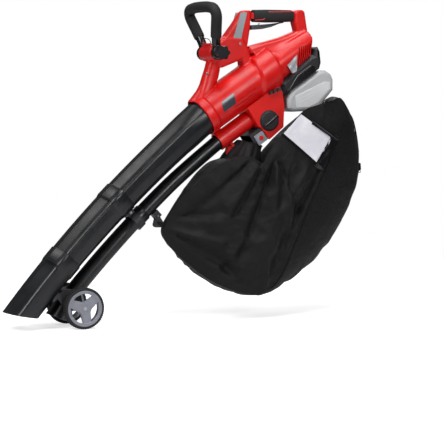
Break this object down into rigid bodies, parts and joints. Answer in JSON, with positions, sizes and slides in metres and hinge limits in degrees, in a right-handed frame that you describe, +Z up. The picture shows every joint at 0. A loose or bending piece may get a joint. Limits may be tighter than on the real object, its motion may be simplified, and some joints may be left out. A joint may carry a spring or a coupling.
{
  "type": "leaf vacuum mulcher",
  "caption": "Cordless garden leaf blower, vacuum and mulcher with twin tubes, guide wheels, bail handle, mode selector, battery and catch bag.",
  "frame": {"origin": "centre of the bounding box in X and Y, on the floor in Z", "axes": "X runs from the nozzle to the rear handle, Y is across the wheels, Z is up"},
  "size_m": [1.0616, 0.21, 0.8655],
  "materials": {
    "red": "satin",
    "black": "satin",
    "tube": "satin",
    "rubber": "matte",
    "grey": "satin",
    "rim": "satin",
    "silver": "satin",
    "steel": "satin",
    "cover": "satin",
    "board": "satin",
    "fabric": "matte"
  },
  "bodies": {
    "machine": {"axle": "steel", "axle_bracket": "black", "bag_adaptor": "black", "bag_strap": "fabric", "battery_foot": "black", "bearing_carrier": "black", "bearing_front": "steel", "bearing_rear": "steel", "blower_tube_lower": "tube", "blower_tube_upper": "tube", "clamp_bolt": "steel", "clip_screw": "steel", "control_board": "board", "front_buckle": "black", "front_hook": "black", "hook_pin": "steel", "housing_left": "red", "housing_right": "red", "latch_plate": "grey", "leaf_bag": "fabric", "motor_stator": "steel", "rear_grip": "rubber", "rear_hook": "black", "selector_left": "red", "selector_right": "red", "stripe_left": "silver", "stripe_right": "silver", "suction_nozzle": "tube", "suction_tube_lower": "tube", "suction_tube_upper": "tube", "tab_pin": "steel", "trigger_pin": "steel", "trigger_spring": "steel", "trigger_switch": "black", "tube_clip": "black"},
    "bail": {"bail_handle": "black", "bail_grip": "rubber", "clamp_cap": "black"},
    "knob": {"clamp_knob": "black"},
    "wheel_left": {"rim_left": "rim", "tyre_left": "rubber", "wheel_cap_left": "steel"},
    "wheel_right": {"rim_right": "rim", "tyre_right": "rubber", "wheel_cap_right": "steel"},
    "rotor": {"motor_shaft": "steel", "motor_rotor": "steel", "impeller": "black", "impeller_nut": "steel"},
    "selector_valve": {"mode_knob": "black", "mode_flap": "black"},
    "trigger_lever": {"trigger": "grey"},
    "battery": {"battery_case": "cover", "cell_block": "grey"},
    "pack_latch": {"battery_latch": "red"},
    "bag_release": {"bag_button": "red"},
    "tube_release": {"release_tab": "red"},
    "ring": {"strap_ring": "steel"}
  },
  "joints": [
    {"name": "bail_pivot", "type": "hinge", "parent": "machine", "child": "bail", "pos_m": [0.0658, 0, 0.72679], "axis": [0, 1, 0], "range_deg": [-70, 40]},
    {"name": "knob_turn", "type": "hinge", "parent": "machine", "child": "knob", "pos_m": [0.0658, 0, 0.72679], "axis": [0, 1, 0], "continuous": true},
    {"name": "wheel_left_spin", "type": "hinge", "parent": "machine", "child": "wheel_left", "pos_m": [-0.3335, -0.065, 0.0552], "axis": [0, 1, 0], "continuous": true},
    {"name": "wheel_right_spin", "type": "hinge", "parent": "machine", "child": "wheel_right", "pos_m": [-0.3335, 0.065, 0.0552], "axis": [0, 1, 0], "continuous": true},
    {"name": "rotor_spin", "type": "hinge", "parent": "machine", "child": "rotor", "pos_m": [0.0478, 0, 0.56079], "axis": [0.8368, 0, 0.5476], "continuous": true},
    {"name": "selector_turn", "type": "hinge", "parent": "machine", "child": "selector_valve", "pos_m": [0.22238, 0, 0.54238], "axis": [0, 1, 0], "range_deg": [-60, 0]},
    {"name": "trigger_press", "type": "hinge", "parent": "machine", "child": "trigger_lever", "pos_m": [0.2798, 0, 0.81299], "axis": [0, 1, 0], "range_deg": [0, 5], "stiffness_Nm_per_rad": 1.5, "springref_deg": -5.73, "deforming": ["trigger_spring"]},
    {"name": "battery_slide", "type": "slide", "parent": "machine", "child": "battery", "axis": [0.8368, 0, 0.5476], "range_m": [0, 0.09]},
    {"name": "latch_press", "type": "slide", "parent": "battery", "child": "pack_latch", "axis": [-0.8368, 0, -0.5476], "range_m": [0, 0.002], "stiffness_N_per_m": 1000, "springref_m": -0.001},
    {"name": "bag_button_press", "type": "slide", "parent": "machine", "child": "bag_release", "axis": [0, 1, 0], "range_m": [0, 0.0025], "stiffness_N_per_m": 1000, "springref_m": -0.001},
    {"name": "tube_tab_press", "type": "hinge", "parent": "machine", "child": "tube_release", "pos_m": [0.12583, 0, 0.47442], "axis": [0, 1, 0], "range_deg": [0, 6], "stiffness_Nm_per_rad": 1, "springref_deg": -2.86},
    {"name": "ring_swing", "type": "hinge", "parent": "machine", "child": "ring", "pos_m": [0.0538, 0, 0.74779], "axis": [0, 1, 0], "range_deg": [-40, 30]}
  ]
}
